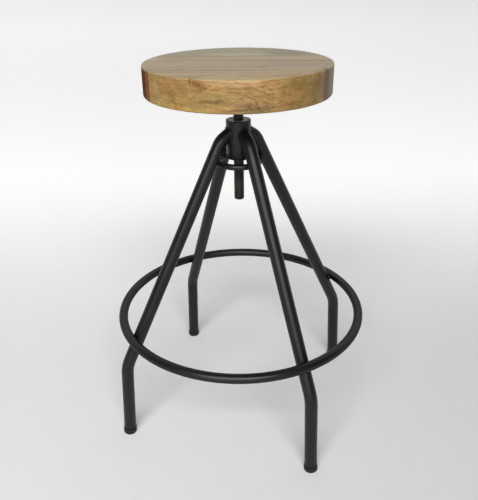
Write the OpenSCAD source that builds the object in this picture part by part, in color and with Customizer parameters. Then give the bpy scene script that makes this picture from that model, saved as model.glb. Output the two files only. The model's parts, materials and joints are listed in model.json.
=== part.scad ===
// Swivel bar stool: a round wooden seat on a screw spindle, in a hub carried by four
// bent steel legs with a foot ring.
// Millimetres, +Z up. The origin is on the floor, on the spindle's axis.

/* [Seat] */
// Diameter of the seat
seat_d = 352; // [280:1:420]
// Thickness of the seat boards
seat_t = 55; // [35:1:80]
// Radius of the eased edge round the seat's top
top_edge_r = 3; // [1:0.5:8]
// Radius of the eased edge round the seat's underside
bottom_edge_r = 4; // [1:0.5:8]
// Width of the front board, from the seat's front edge
front_board_w = 86; // [60:1:90]
// Width of the board behind the front one
second_board_w = 98; // [80:1:100]
// Width of the third board; the back board takes the rest
third_board_w = 54; // [44:1:80]
// Turn of the seat about the spindle, as drawn
seat_turn = 13.5; // [0:0.5:359.5]
// How far the seat is screwed up off the hub, as drawn
seat_rise = 23.5; // [0:0.5:60]

/* [Mounting plate] */
// Width of the square plate under the seat
plate_w = 120; // [100:1:160]
// Thickness of the plate
plate_t = 4; // [3:0.5:8]
// Radius of the plate's corners
plate_corner_r = 10; // [4:1:16]
// Distance of the screw holes from the plate's edges
screw_inset = 14; // [10:0.5:20]
// Diameter of the wood screws
screw_d = 5; // [3.5:0.5:6]
// Length of the wood screws under the head
screw_l = 35; // [20:1:38]
// Diameter of the screw heads
screw_head_d = 10; // [8:0.5:12]
// Height of the screw heads
screw_head_h = 3.2; // [2.4:0.1:4.5]
// Radial clearance of the screws in the plate
screw_hole_gap = 0.3; // [0.1:0.05:0.6]
// Radial clearance of the screws in their pilot holes in the wood
screw_wood_gap = 0.05; // [0.02:0.01:0.2]

/* [Spindle] */
// Outside diameter of the threaded spindle
spindle_d = 20; // [14:0.5:22]
// Length of the spindle below the mounting plate
spindle_l = 210; // [180:1:250]
// Pitch of the metric thread
thread_pitch = 2.5; // [2:0.25:3]
// Depth of the thread
thread_depth = 1.5; // [1:0.1:1.6]
// Chamfer at the spindle's lower end
spindle_chamfer = 2; // [0.5:0.5:4]
// Outside diameter of the boss that holds the spindle under the plate
boss_d = 34; // [26:1:44]
// Height of the boss
boss_h = 22; // [14:1:34]
// Width of the weld fillet between boss and plate
boss_weld_w = 4; // [2:0.5:6]
// Outside diameter of the thrust washer
washer_d = 38; // [28:1:46]
// Thickness of the thrust washer
washer_t = 2.5; // [1.5:0.5:5]
// Radial clearance of the thrust washer round the spindle
washer_gap = 0.3; // [0.2:0.05:0.8]

/* [Hub] */
// Height of the hub's top face above the floor
hub_top_z = 663; // [640:0.5:680]
// Outside diameter of the hub sleeve
sleeve_d = 48.3; // [42:0.1:52]
// Wall of the hub sleeve
sleeve_wall = 4; // [3:0.5:6]
// Length of the hub sleeve
sleeve_l = 75; // [64:0.5:84]
// Chamfer on the sleeve's ends
sleeve_chamfer = 1; // [0.5:0.1:1.5]
// Length of the threaded nut pressed into the sleeve's top
nut_l = 30; // [20:1:40]
// Countersink at the mouths of the nut and the bush
mouth_chamfer = 1.5; // [0.5:0.1:2.5]
// Length of the guide bush pressed into the sleeve's bottom
bush_l = 18; // [10:1:24]
// Radial running clearance of the spindle in the nut and the bush
spindle_gap = 0.08; // [0.03:0.01:0.1]
// Radial gap left in a pressed or welded seat
seat_gap = 0.02; // [0.01:0.01:0.05]

/* [Legs] */
// Outside diameter of the leg tubes
leg_d = 25.4; // [20:0.1:28]
// Wall of the leg tubes
leg_wall = 1.5; // [1:0.1:2.5]
// Direction of the right front leg about the axis
right_front_angle = -44; // [-50:1:-40]
// Direction of the left front leg about the axis
left_front_angle = -137; // [-142:1:-130]
// Direction of the left back leg about the axis
left_back_angle = 134; // [130:1:140]
// Direction of the right back leg about the axis
right_back_angle = 47; // [40:1:50]
// Radius of the circle that the feet stand on
foot_radius = 279; // [270:1:300]
// How far nearer the axis the knees are than the feet
knee_inset = 10; // [0:0.5:20]
// Height of the knees above the floor
knee_z = 173.5; // [140:0.5:190]
// How far from the hub sleeve the legs' shoulders are
shoulder_out = 15; // [14:0.1:20]
// Lean of the legs' ends at the hub from the vertical
shoulder_lean = 57; // [52:1:75]
// How far below the hub's top a leg's centre line meets the sleeve
leg_drop = 28.5; // [24:0.5:36]
// Radius of the knee bends, to the tube's centre line
knee_bend_r = 80; // [50:1:120]
// Radius of the shoulder bends, to the tube's centre line
shoulder_bend_r = 34; // [30:1:38]

/* [Rings] */
// Height of the foot ring's centre line
foot_ring_z = 246; // [225:1:300]
// Outside diameter of the foot ring's tube
foot_ring_d = 19; // [14:0.5:24]
// Wall of the foot ring's tube
foot_ring_wall = 1.5; // [1:0.1:2.5]
// Height of the brace hoop's centre line
hoop_z = 580; // [560:1:584]
// Diameter of the brace hoop's bar
hoop_d = 12; // [6:0.5:14]
// Gap between a leg and a ring that the weld fills
weld_gap = 0.3; // [0.1:0.05:0.6]
// Thickness of the weld metal where the foot ring crosses the legs
foot_ring_weld_w = 2.2; // [1:0.1:3]
// Thickness of the weld metal where the brace hoop crosses the legs
hoop_weld_w = 1.8; // [1:0.1:2.5]
// Width of the weld beads round the legs on the hub
hub_weld_w = 2.2; // [1:0.1:3]

/* [Feet] */
// Wall of the foot caps
cap_wall = 1.2; // [0.8:0.1:2]
// Height of the foot caps
cap_h = 12; // [8:0.5:20]
// Thickness of the caps' soles
cap_sole = 4; // [3:0.5:6]
// Radius of the caps' rounded bottom edge
cap_round_r = 2.5; // [1:0.5:3]
// Radial clearance of the caps on the tubes
cap_gap = 0.1; // [0.05:0.05:0.4]

/* [Hidden] */
$fn = 64;
wide_fn = 360; // facets round the seat and the rings, for the mesh preview

wood = [0.70, 0.55, 0.36];
black_coat = [0.10, 0.10, 0.10];
dark_steel = [0.22, 0.22, 0.23];
zinc = [0.70, 0.70, 0.68];
black_plastic = [0.06, 0.06, 0.06];
white_nylon = [0.85, 0.85, 0.80];

leg_angles = [right_front_angle, left_front_angle, left_back_angle, right_back_angle];
leg_r = leg_d / 2;
sleeve_r = sleeve_d / 2;
spindle_r = spindle_d / 2;
boss_r = boss_d / 2;
hoop_r = hoop_d / 2;
foot_ring_r = foot_ring_d / 2;
cut = 1; // how far a cutting solid runs past the face it cuts
bend_lap = 0.5; // how far a straight run reaches into the bend that it meets
bend_swell = 0.05; // how much fatter a bend is than its runs, which end inside it

// The stack on the hub, from the thrust washer up to the seat
washer_z = hub_top_z + seat_rise;
boss_z = washer_z + washer_t;
plate_z = boss_z + boss_h;
seat_z = plate_z + plate_t;
spindle_z = plate_z - spindle_l;
hub_z = hub_top_z - sleeve_l;

// A leg lies in an upright plane through the axis. Points there are [radius, height],
// and a run that leans by an angle climbs towards the axis along heading(angle).
function heading(lean) = [-sin(lean), cos(lean)];
function outward(lean) = [cos(lean), sin(lean)];
foot = [foot_radius, 0];
knee = [foot_radius - knee_inset, knee_z];
foot_lean = atan(knee_inset / knee_z);
joint = [sleeve_r, hub_top_z - leg_drop];
tip = joint + sleeve_r / 2 * heading(shoulder_lean);
shoulder = joint - shoulder_out / sin(shoulder_lean) * heading(shoulder_lean);
leg_lean = atan((knee.x - shoulder.x) / (shoulder.y - knee.y));

// Each ring touches the upper runs across the weld gap
function run_radius(z) = knee.x - (z - knee.y) * tan(leg_lean);
function ring_offset(bar_r) = (leg_r + bar_r + weld_gap) / cos(leg_lean);
foot_ring_at = [run_radius(foot_ring_z) + ring_offset(foot_ring_r), foot_ring_z];
hoop_at = [run_radius(hoop_z) - ring_offset(hoop_r), hoop_z];

cap_r = leg_r + cap_gap + cap_wall;
cap_dip = cap_r * sin(foot_lean); // the part of the tilted cap that the floor cuts off

// The thread is drawn as level grooves, from the lower chamfer up to the thrust washer
thread_half_angle = 30;
thread_flank = thread_depth * tan(thread_half_angle);
thread_crest = thread_pitch / 2 - thread_flank;
thread_l = washer_z - spindle_z - spindle_chamfer;
thread_n = floor(thread_l / thread_pitch) - 1;
root_r = spindle_r - thread_depth;

// Places on the plate and the seat, from the seat's centre
screw_at = plate_w / 2 - screw_inset;
second_y = front_board_w - seat_d / 2;
third_y = second_y + second_board_w;
back_y = third_y + third_board_w;

// Puts a shape at a point of the leg's plane, leaning towards the axis
module in_leg_plane(at, lean = 0) {
    translate([at.x, 0, at.y]) rotate([0, -lean, 0]) children();
}

// Straight round bar between two points of the leg's plane
module run(from, to, lean, r) {
    in_leg_plane(from, lean) cylinder(h = norm(to - from), r = r);
}

// Bend between two runs that meet at a corner
function bend_reach(lean_in, lean_out, bend_r) = bend_r * tan((lean_out - lean_in) / 2);
module bend(corner, lean_in, lean_out, bend_r, r) {
    start = corner - bend_reach(lean_in, lean_out, bend_r) * heading(lean_in);
    centre = start - bend_r * outward(lean_in);
    translate([centre.x, 0, centre.y]) rotate([90, 0, 0]) rotate([0, 0, lean_in])
        rotate_extrude(angle = lean_out - lean_in) translate([bend_r, 0]) circle(r);
}

// Bar of one radius along a leg's whole route, which starts some way up from the floor
module leg_bar(r, start) {
    knee_reach = bend_reach(foot_lean, leg_lean, knee_bend_r) - bend_lap;
    shoulder_reach = bend_reach(leg_lean, shoulder_lean, shoulder_bend_r) - bend_lap;
    run(foot + start * heading(foot_lean), knee - knee_reach * heading(foot_lean), foot_lean, r);
    bend(knee, foot_lean, leg_lean, knee_bend_r, r + bend_swell);
    run(knee + knee_reach * heading(leg_lean), shoulder - shoulder_reach * heading(leg_lean),
        leg_lean, r);
    bend(shoulder, leg_lean, shoulder_lean, shoulder_bend_r, r + bend_swell);
    run(shoulder + shoulder_reach * heading(shoulder_lean), tip, shoulder_lean, r);
}

// Tube, coped at its top end to the hub sleeve
module leg(angle) {
    color(black_coat) rotate([0, 0, angle]) difference() {
        leg_bar(leg_r, cap_sole);
        leg_bar(leg_r - leg_wall, cap_sole - cut);
        translate([0, 0, hub_z]) cylinder(h = sleeve_l, r = sleeve_r);
    }
}

// Cup over the tube's end, cut level where it stands
module foot_cap(angle) {
    color(black_plastic) rotate([0, 0, angle]) intersection() {
        in_leg_plane(foot, foot_lean) translate([0, 0, -cap_dip]) difference() {
            rotate_extrude() {
                translate([0, cap_round_r]) square([cap_r, cap_h + cap_dip - cap_round_r]);
                square([cap_r - cap_round_r, cap_round_r]);
                translate([cap_r - cap_round_r, cap_round_r]) circle(cap_round_r);
            }
            translate([0, 0, cap_dip + cap_sole]) cylinder(h = cap_h, r = leg_r + cap_gap);
        }
        translate([foot_radius - 2 * cap_r, -2 * cap_r, 0]) cube([4 * cap_r, 4 * cap_r, 2 * cap_h]);
    }
}

// Ring of round bar, given its place in the leg's plane
module ring(at, r) {
    translate([0, 0, at.y]) rotate_extrude($fn = wide_fn) translate([at.x, 0]) circle(r);
}

module foot_ring() {
    color(black_coat) difference() {
        ring(foot_ring_at, foot_ring_r);
        ring(foot_ring_at, foot_ring_r - foot_ring_wall);
    }
}

module brace_hoop() {
    color(black_coat) ring(hoop_at, hoop_r);
}

// Weld metal in the crevices where a ring crosses the legs
module crossing_welds(at, bar_r, weld_w) {
    color(black_coat) for (angle = leg_angles) rotate([0, 0, angle]) difference() {
        intersection() {
            run(knee, shoulder, leg_lean, leg_r + weld_w);
            ring(at, bar_r + weld_w);
        }
        run(knee, shoulder, leg_lean, leg_r);
        ring(at, bar_r);
    }
}

module foot_ring_welds() {
    crossing_welds(foot_ring_at, foot_ring_r, foot_ring_weld_w);
}

module hoop_welds() {
    crossing_welds(hoop_at, hoop_r, hoop_weld_w);
}

// Bead round each leg's end on the hub sleeve
module hub_welds() {
    bead_reach = sleeve_r + 2 * hub_weld_w;
    color(black_coat) for (angle = leg_angles) rotate([0, 0, angle]) difference() {
        intersection() {
            in_leg_plane(tip - bead_reach * heading(shoulder_lean), shoulder_lean)
                cylinder(h = bead_reach, r = leg_r + hub_weld_w);
            translate([0, 0, hub_z]) cylinder(h = sleeve_l, r = sleeve_r + hub_weld_w);
        }
        translate([0, 0, hub_z - cut]) cylinder(h = sleeve_l + 2 * cut, r = sleeve_r);
        leg_bar(leg_r, cap_sole);
    }
}

// Round bar or tube standing on its lower end, with chamfered outer edges
module turned(r, h, chamfer) {
    rotate_extrude() polygon([
        [0, 0], [r - chamfer, 0], [r, chamfer], [r, h - chamfer], [r - chamfer, h], [0, h]
    ]);
}

module hub_sleeve() {
    color(black_coat) translate([0, 0, hub_z]) difference() {
        turned(sleeve_r, sleeve_l, sleeve_chamfer);
        translate([0, 0, -cut]) cylinder(h = sleeve_l + 2 * cut, r = sleeve_r - sleeve_wall);
    }
}

// Plug for the sleeve, bored for the spindle and countersunk at one mouth
module plug(l) {
    difference() {
        cylinder(h = l, r = sleeve_r - sleeve_wall - seat_gap);
        translate([0, 0, -cut]) cylinder(h = l + 2 * cut, r = spindle_r + spindle_gap);
        translate([0, 0, l - mouth_chamfer])
            cylinder(h = mouth_chamfer + cut, r1 = spindle_r + spindle_gap,
                r2 = spindle_r + spindle_gap + mouth_chamfer + cut);
    }
}

module screw_nut() {
    color(dark_steel) translate([0, 0, hub_top_z - nut_l]) plug(nut_l);
}

module guide_bush() {
    color(dark_steel) translate([0, 0, hub_z + bush_l]) mirror([0, 0, 1]) plug(bush_l);
}

// Spindle, grooved below the washer and plain in the washer and the boss
module screw_spindle() {
    first = spindle_chamfer + thread_crest;
    color(dark_steel) translate([0, 0, spindle_z]) rotate_extrude() polygon(concat(
        [[0, 0], [spindle_r - spindle_chamfer, 0], [spindle_r, spindle_chamfer]],
        [for (i = [0:thread_n - 1], z = [first + i * thread_pitch]) each [
            [spindle_r, z], [root_r, z + thread_flank],
            [root_r, z + thread_flank + thread_crest], [spindle_r, z + 2 * thread_flank + thread_crest]
        ]],
        [[spindle_r, spindle_l], [0, spindle_l]]
    ));
}

module thrust_washer() {
    color(white_nylon) translate([0, 0, washer_z]) difference() {
        cylinder(h = washer_t, r = washer_d / 2);
        translate([0, 0, -cut]) cylinder(h = washer_t + 2 * cut, r = spindle_r + washer_gap);
    }
}

module spindle_boss() {
    color(black_coat) translate([0, 0, boss_z]) difference() {
        cylinder(h = boss_h, r = boss_r);
        translate([0, 0, -cut]) cylinder(h = boss_h + 2 * cut, r = spindle_r + seat_gap);
    }
}

module boss_weld() {
    color(black_coat) translate([0, 0, plate_z]) rotate_extrude()
        polygon([[boss_r, 0], [boss_r + boss_weld_w, 0], [boss_r, -boss_weld_w]]);
}

// Puts a copy on each of the mounting plate's four screw holes
module at_screws() {
    for (x = [-screw_at, screw_at], y = [-screw_at, screw_at])
        rotate([0, 0, seat_turn]) translate([x, y, plate_z]) children();
}

module mounting_plate() {
    straight = plate_w - 2 * plate_corner_r;
    corner_at = straight / 2;
    color(black_coat) difference() {
        rotate([0, 0, seat_turn]) translate([0, 0, plate_z]) linear_extrude(plate_t) {
            square([straight, plate_w], center = true);
            square([plate_w, straight], center = true);
            for (x = [-corner_at, corner_at], y = [-corner_at, corner_at])
                translate([x, y]) circle(plate_corner_r);
        }
        at_screws() translate([0, 0, -cut])
            cylinder(h = plate_t + 2 * cut, r = screw_d / 2 + screw_hole_gap);
    }
}

// Pan head screw, point up, with a cross recess
module wood_screw() {
    point_l = screw_d;
    point_d = screw_d / 10;
    rim_h = screw_head_h / 2;
    crown_d = screw_head_d * 2 / 3;
    recess_w = screw_head_d / 2;
    recess_h = screw_head_h * 0.6;
    slot_w = screw_head_d / 8;
    cylinder(h = screw_l - point_l, r = screw_d / 2);
    translate([0, 0, screw_l - point_l]) cylinder(h = point_l, r1 = screw_d / 2, r2 = point_d / 2);
    difference() {
        union() {
            translate([0, 0, -rim_h]) cylinder(h = rim_h, r = screw_head_d / 2);
            translate([0, 0, -screw_head_h])
                cylinder(h = screw_head_h - rim_h, r1 = crown_d / 2, r2 = screw_head_d / 2);
        }
        for (turn = [0, 90]) rotate([0, 0, turn])
            translate([-recess_w / 2, -slot_w / 2, -screw_head_h - cut])
            cube([recess_w, slot_w, cut + recess_h]);
    }
}

module plate_screws() {
    color(zinc) at_screws() wood_screw();
}

// Disc of the whole seat, with eased edges
module seat_disc() {
    r = seat_d / 2;
    rotate_extrude($fn = wide_fn) {
        translate([0, bottom_edge_r]) square([r, seat_t - top_edge_r - bottom_edge_r]);
        square([r - bottom_edge_r, 2 * bottom_edge_r]);
        translate([0, seat_t - 2 * top_edge_r]) square([r - top_edge_r, 2 * top_edge_r]);
        translate([r - bottom_edge_r, bottom_edge_r]) circle(bottom_edge_r);
        translate([r - top_edge_r, seat_t - top_edge_r]) circle(top_edge_r);
    }
}

// Board of the seat between two joint lines, bored for the screws
module seat_board(from_y, to_y) {
    color(wood) difference() {
        rotate([0, 0, seat_turn]) translate([0, 0, seat_z]) intersection() {
            seat_disc();
            translate([-seat_d / 2 - cut, from_y, -cut])
                cube([seat_d + 2 * cut, to_y - from_y, seat_t + 2 * cut]);
        }
        at_screws() cylinder(h = screw_l + cut, r = screw_d / 2 + screw_wood_gap);
    }
}

seat_board(-seat_d / 2 - cut, second_y);  // seat_board_front
seat_board(second_y, third_y);  // seat_board_second
seat_board(third_y, back_y);  // seat_board_third
seat_board(back_y, seat_d / 2 + cut);  // seat_board_back
mounting_plate();
plate_screws();
spindle_boss();
boss_weld();
screw_spindle();
thrust_washer();
hub_sleeve();
screw_nut();
guide_bush();
leg(right_front_angle);  // leg_right_front
leg(left_front_angle);  // leg_left_front
leg(left_back_angle);  // leg_left_back
leg(right_back_angle);  // leg_right_back
brace_hoop();
foot_ring();
hub_welds();
hoop_welds();
foot_ring_welds();
foot_cap(right_front_angle);  // foot_cap_right_front
foot_cap(left_front_angle);  // foot_cap_left_front
foot_cap(left_back_angle);  // foot_cap_left_back
foot_cap(right_back_angle);  // foot_cap_right_back
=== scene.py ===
"""Looks of a swivel bar stool: a round wooden seat on a screw spindle, in a black steel stand."""

import json
import math

import bmesh
import bpy
import numpy as np
from mathutils import Matrix, Vector


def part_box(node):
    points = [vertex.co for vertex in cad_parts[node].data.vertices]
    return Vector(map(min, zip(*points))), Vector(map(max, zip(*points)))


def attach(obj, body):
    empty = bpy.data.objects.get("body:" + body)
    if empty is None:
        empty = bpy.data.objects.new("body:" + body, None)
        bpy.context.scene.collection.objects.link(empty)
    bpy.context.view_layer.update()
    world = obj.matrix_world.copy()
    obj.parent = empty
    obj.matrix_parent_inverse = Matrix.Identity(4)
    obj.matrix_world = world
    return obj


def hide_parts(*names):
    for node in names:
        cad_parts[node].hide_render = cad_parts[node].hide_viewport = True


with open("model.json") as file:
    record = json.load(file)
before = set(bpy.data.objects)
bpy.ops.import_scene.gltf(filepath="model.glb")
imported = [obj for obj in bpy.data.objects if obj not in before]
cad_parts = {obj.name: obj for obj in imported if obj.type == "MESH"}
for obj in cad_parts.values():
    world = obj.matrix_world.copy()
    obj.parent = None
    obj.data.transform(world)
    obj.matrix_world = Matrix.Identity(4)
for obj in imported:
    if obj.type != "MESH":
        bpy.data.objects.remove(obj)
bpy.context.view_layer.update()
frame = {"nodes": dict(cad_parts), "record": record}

MM = 0.001
TAU = 2 * math.pi


def heights(node):
    """How high a CAD node's underside and its top are."""
    low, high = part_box(node)
    return low.z, high.z


def ring_sizes(node):
    """A level ring's distance from the axis, its height and its bar's radius, from its CAD node."""
    low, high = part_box(node)
    bar_r = (high.z - low.z) / 2
    return high.x - bar_r, (low.z + high.z) / 2, bar_r


# Camera, where the photograph was taken from, and the lamps' aim and distance
CAMERA_TURN = math.radians(16.11)
CAMERA_DIP = math.radians(26.79)
CAMERA_ROLL = math.radians(-0.77)
CAMERA_PLACE = (0.3125, -1.0893, 0.9547)
FILM_HEIGHT = 36
LENS = 42.97
LAMPS_AIM = Vector((0, 0, 0.4))
LAMPS_AWAY = 8.0

# Seat, from the frame and from the boards' own sizes
SEAT_TURN = math.radians(13.5)
SEAT_LOW, SEAT_HIGH = heights("seat_board_front")
SEAT_R = 176 * MM
BOARD_JOINTS = [-90 * MM, 8 * MM, 62 * MM]
RIM_FRONT_TURN = math.radians(-2.5)  # the boards' own front, from the photographed front
TOP_EASE = 3 * MM
BOTTOM_EASE = 4 * MM
JOINT_GROOVE = 0.7 * MM
FLECK_SLANT = math.radians(-28)
RIM_STEPS = 96
GLUED_STEPS = 24

# Stand, from the frame
HUB_LOW, HUB_HIGH = heights("hub_sleeve")
HUB_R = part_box("hub_sleeve")[1].x
RING_AT, RING_Z, RING_R = ring_sizes("foot_ring")
HOOP_AT, HOOP_Z, HOOP_R = ring_sizes("brace_hoop")

# Legs: points are (distance from the axis, height), and leans are from the vertical
LEG_R = 12.7 * MM
LEG_TURNS = {
    "right_front": math.radians(-44),
    "left_front": math.radians(-137),
    "left_back": math.radians(134),
    "right_back": math.radians(47),
}
FOOT = Vector((279, 0)) * MM
KNEE = Vector((269, 173.5)) * MM
KNEE_BEND_R = 80 * MM
SHOULDER_BEND_R = 34 * MM
FOOT_LEAN = math.atan2(FOOT.x - KNEE.x, KNEE.y)
SHOULDER_LEAN = math.radians(57)
LEG_JOINT_DROP = 28.5 * MM
SHOULDER_OUT = 15 * MM
LEG_JOINT = Vector((HUB_R, HUB_HIGH - LEG_JOINT_DROP))
SHOULDER = LEG_JOINT + SHOULDER_OUT * Vector((1, -1 / math.tan(SHOULDER_LEAN)))
LEG_LEAN = math.atan2(KNEE.x - SHOULDER.x, SHOULDER.y - KNEE.y)
CAP_SOLE = 4 * MM
CAP_R = 14 * MM
CAP_WALL = 1.2 * MM
CAP_HEIGHT = 12 * MM
CAP_ROUND = 2.5 * MM
CAP_SIDES = 96
COPE_DEPTH = 1.5 * MM  # how far a leg's end reaches into the sleeve's wall
LEG_SIDES = 64
BEND_STEPS = 20
WELD_GAP = 0.3 * MM

# Weld beads as (radius, points along it, points in a ripple), and how far out two of them run
HUB_BEAD = (1.55 * MM, 240, 4.5)
RING_BEAD = (1.4 * MM, 120, 4)
HOOP_BEAD = (1.1 * MM, 120, 4)
BOSS_BEAD = (2.1 * MM, 150, 3)
HUB_BEAD_OUT = 0.5 * MM
BOSS_BEAD_OUT = 0.9 * MM
BEAD_SIDES = 12
HALVINGS = 40
WELD_SEED = 5

# Inside the hub, and how far edges are eased
NUT_LENGTH = 30 * MM
BUSH_LENGTH = 18 * MM
TURNED_SIDES = 128
PLUG_GAP = 0.02 * MM
PLUG_SUNK = 1.5 * MM
PLUG_EASE = 0.3 * MM
SLEEVE_EASE = 0.9 * MM
WASHER_EASE = 0.4 * MM
BOSS_EASE = 0.8 * MM
PLATE_EASE = 0.4 * MM

# Spindle and the stack that it carries
SPINDLE_LOW, SPINDLE_HIGH = heights("screw_spindle")
SPINDLE_R = 10 * MM
THREAD_PITCH = 2.5 * MM
THREAD_DEPTH = 1.5 * MM
THREAD_SIDES = 48
END_ROUND = 2 * MM
BORE_R = 10.08 * MM
SLEEVE_BORE_R = 20.15 * MM
WASHER_LOW, WASHER_HIGH = heights("thrust_washer")
WASHER_R = 19 * MM
WASHER_GAP = 0.3 * MM
BOSS_LOW, BOSS_HIGH = heights("spindle_boss")
BOSS_R = 17 * MM
BOSS_GAP = 0.02 * MM
PLATE_LOW, PLATE_HIGH = heights("mounting_plate")
PLATE_HALF = 60 * MM
PLATE_CORNER_R = 10 * MM
SCREW_AT = 46 * MM
SCREW_PLACES = [(x * SCREW_AT, y * SCREW_AT) for x in (-1, 1) for y in (-1, 1)]
SCREW_R = 2.5 * MM
SCREW_L = 35 * MM
SCREW_TIP = 5 * MM
SCREW_SIDES = 48
SCREW_HEAD_R = 5 * MM
SCREW_HEAD_H = 3.2 * MM
SCREW_HEAD_EDGE = 0.2 * MM
SCREW_HOLE_GAP = 0.3 * MM
SCREW_SEED = 4
RECESS = (5.2 * MM, 1.2 * MM, 3.8 * MM)  # one bar of the cross: long, wide, tall

# Angles in degrees between faces, past which an edge stays sharp
PLATE_SHARP = 28
BOARD_SHARP = 32
THREAD_SHARP = 32
TURNED_SHARP = 35
SCREW_SHARP = 40
CAP_SHARP = 50
BAR_SHARP = 60

# Floor in metres: across the camera's view, and away from the camera past the stool
FLOOR_SIZE = 30
SHOT_NEAR = -0.9
SHOT_HALF = 0.8
SHOT_SPREAD = 0.35  # how much wider the shot gets with each metre away
FADE = (0.3, 3.6)
ALBEDO_RANGE = (-0.5, 0.9)
FAN_BACK = 1.75  # how far on the camera's side the light's left to right shading fans out from
FAN_LEAST = 0.9
LIFT_END = 1.7
FAR_END = 8.0


# Shader and geometry nodes


def feed(tree, node, inputs):
    """Sets a node's inputs, or links them where they are sockets."""
    for name, value in inputs.items():
        if isinstance(value, bpy.types.NodeSocket):
            tree.links.new(value, node.inputs[name])
        else:
            node.inputs[name].default_value = value


def add(tree, kind, inputs=None, **settings):
    """A new node, with its settings made and its inputs fed."""
    made = tree.nodes.new(kind)
    for name, value in settings.items():
        setattr(made, name, value)
    feed(tree, made, inputs or {})
    return made


def maths(tree, operation, *values):
    """What a Math node makes of its values."""
    return add(tree, "ShaderNodeMath", dict(enumerate(values)), operation=operation).outputs[0]


def times(tree, first, second):
    """One value multiplied by another."""
    return maths(tree, "MULTIPLY", first, second)


def plus(tree, first, second):
    """Two values added."""
    return maths(tree, "ADD", first, second)


def minus(tree, first, second):
    """One value less another."""
    return maths(tree, "SUBTRACT", first, second)


def vector_maths(tree, operation, *values):
    """What a Vector Math node makes of its vectors: a vector, a length or a dot product."""
    made = add(tree, "ShaderNodeVectorMath", dict(enumerate(values)), operation=operation)
    return made.outputs["Value" if operation in ("LENGTH", "DOT_PRODUCT") else "Vector"]


def spread(tree, value, low, high, to_low=0.0, to_high=1.0, smooth=True):
    """A value carried from one range to another, held at both ends."""
    made = add(
        tree, "ShaderNodeMapRange",
        {"Value": value, "From Min": low, "From Max": high, "To Min": to_low, "To Max": to_high},
        interpolation_type="SMOOTHSTEP" if smooth else "LINEAR",
    )
    return made.outputs["Result"]


def blended(tree, share, first, second, mode="MIX"):
    """Two colours mixed, or laid over each other in another mode."""
    made = add(tree, "ShaderNodeMix", data_type="RGBA", blend_type=mode)
    for socket, value in ((made.inputs[0], share), (made.inputs[6], first), (made.inputs[7], second)):
        if isinstance(value, bpy.types.NodeSocket):
            tree.links.new(value, socket)
        else:
            socket.default_value = value if isinstance(value, float) else (*value, 1.0)
    return made.outputs[2]


def tinted(tree, share, colour, tint):
    """A colour multiplied by a tint, in part."""
    return blended(tree, share, colour, tint, "MULTIPLY")


def noise(tree, at, scale, detail=3.0, roughness=0.5):
    """Fractal noise of about 0 to 1."""
    settings = {"Vector": at, "Scale": scale, "Detail": detail, "Roughness": roughness}
    return add(tree, "ShaderNodeTexNoise", settings).outputs["Fac"]


def placed(tree, turn=0.0):
    """Object coordinates, turned about Z."""
    coords = add(tree, "ShaderNodeTexCoord").outputs["Object"]
    return add(tree, "ShaderNodeMapping", {"Vector": coords, "Rotation": (0, 0, turn)}).outputs[0]


def stretched(tree, at, scale):
    """Coordinates scaled along each axis."""
    return add(tree, "ShaderNodeMapping", {"Vector": at, "Scale": scale}).outputs[0]


def new_material(name):
    """An empty material: its node tree and its Principled shader."""
    material = bpy.data.materials.new(name)
    material.use_nodes = True
    tree = material.node_tree
    tree.nodes.clear()
    shader = add(tree, "ShaderNodeBsdfPrincipled")
    output = add(tree, "ShaderNodeOutputMaterial", {"Surface": shader.outputs[0]})
    output.is_active_output = True
    return material, tree, shader


def bumped(tree, height, distance, strength=1.0):
    """The normal that a height in 0 to 1 makes, with its full distance in metres."""
    made = add(tree, "ShaderNodeBump", {"Height": height, "Distance": distance, "Strength": strength})
    return made.outputs["Normal"]


def powder_coat(name, edge_level, wear=0.0):
    """Satin black powder coat with a fine orange peel, faint dust and rubbed places.

    edge_level is how strongly it mirrors where it is seen edge-on (0.5 is the plain strength), and
    wear is how much smoother it has been rubbed.
    """
    material, tree, shader = new_material(name)
    at = placed(tree)
    peel = noise(tree, at, 900, 2.0)
    grit = noise(tree, at, 3200, 1.0)
    clouds = noise(tree, at, 14, 4.0, 0.6)
    specks = spread(tree, noise(tree, at, 420, 2.0), 0.70, 0.80)
    dust = times(tree, spread(tree, clouds, 0.42, 0.75), 0.5)
    base = blended(tree, dust, (0.0035, 0.0036, 0.0037), (0.0075, 0.0073, 0.0068))
    base = blended(tree, times(tree, specks, 0.25), base, (0.04, 0.039, 0.037))
    height = plus(tree, times(tree, peel, 0.75), times(tree, grit, 0.25))
    edge_on = add(tree, "ShaderNodeLayerWeight", {"Blend": 0.5}).outputs["Facing"]
    feed(tree, shader, {
        "Base Color": base,
        "Roughness": spread(tree, clouds, 0.3, 0.7, 0.34 - wear, 0.44 - wear),
        "Normal": bumped(tree, height, 0.05 * MM, 0.6),
        "IOR": 1.42,
        "Specular IOR Level": spread(tree, edge_on, 0.3, 0.6, 0.5, edge_level),
    })
    return material


def turned_steel(name, darker, lighter, metallic):
    """Lightly oiled steel with fine turning marks round the axis."""
    material, tree, shader = new_material(name)
    at = placed(tree)
    marks = noise(tree, stretched(tree, at, (0.05, 0.05, 1)), 5200, 2.0)
    patches = noise(tree, at, 55, 4.0, 0.6)
    base = blended(tree, spread(tree, patches, 0.35, 0.7), darker, lighter)
    feed(tree, shader, {
        "Base Color": base,
        "Metallic": metallic,
        "Roughness": spread(tree, patches, 0.3, 0.7, 0.34, 0.5),
        "Normal": bumped(tree, marks, 0.02 * MM, 0.5),
    })
    return material


def zinc_plate(name):
    """Zinc plate with a cloudy passivated tint."""
    material, tree, shader = new_material(name)
    clouds = noise(tree, placed(tree), 260, 3.0, 0.6)
    base = blended(tree, spread(tree, clouds, 0.35, 0.65), (0.50, 0.49, 0.44), (0.60, 0.61, 0.62))
    rough = spread(tree, clouds, 0.3, 0.7, 0.28, 0.42)
    feed(tree, shader, {"Base Color": base, "Metallic": 1.0, "Roughness": rough})
    return material


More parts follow.
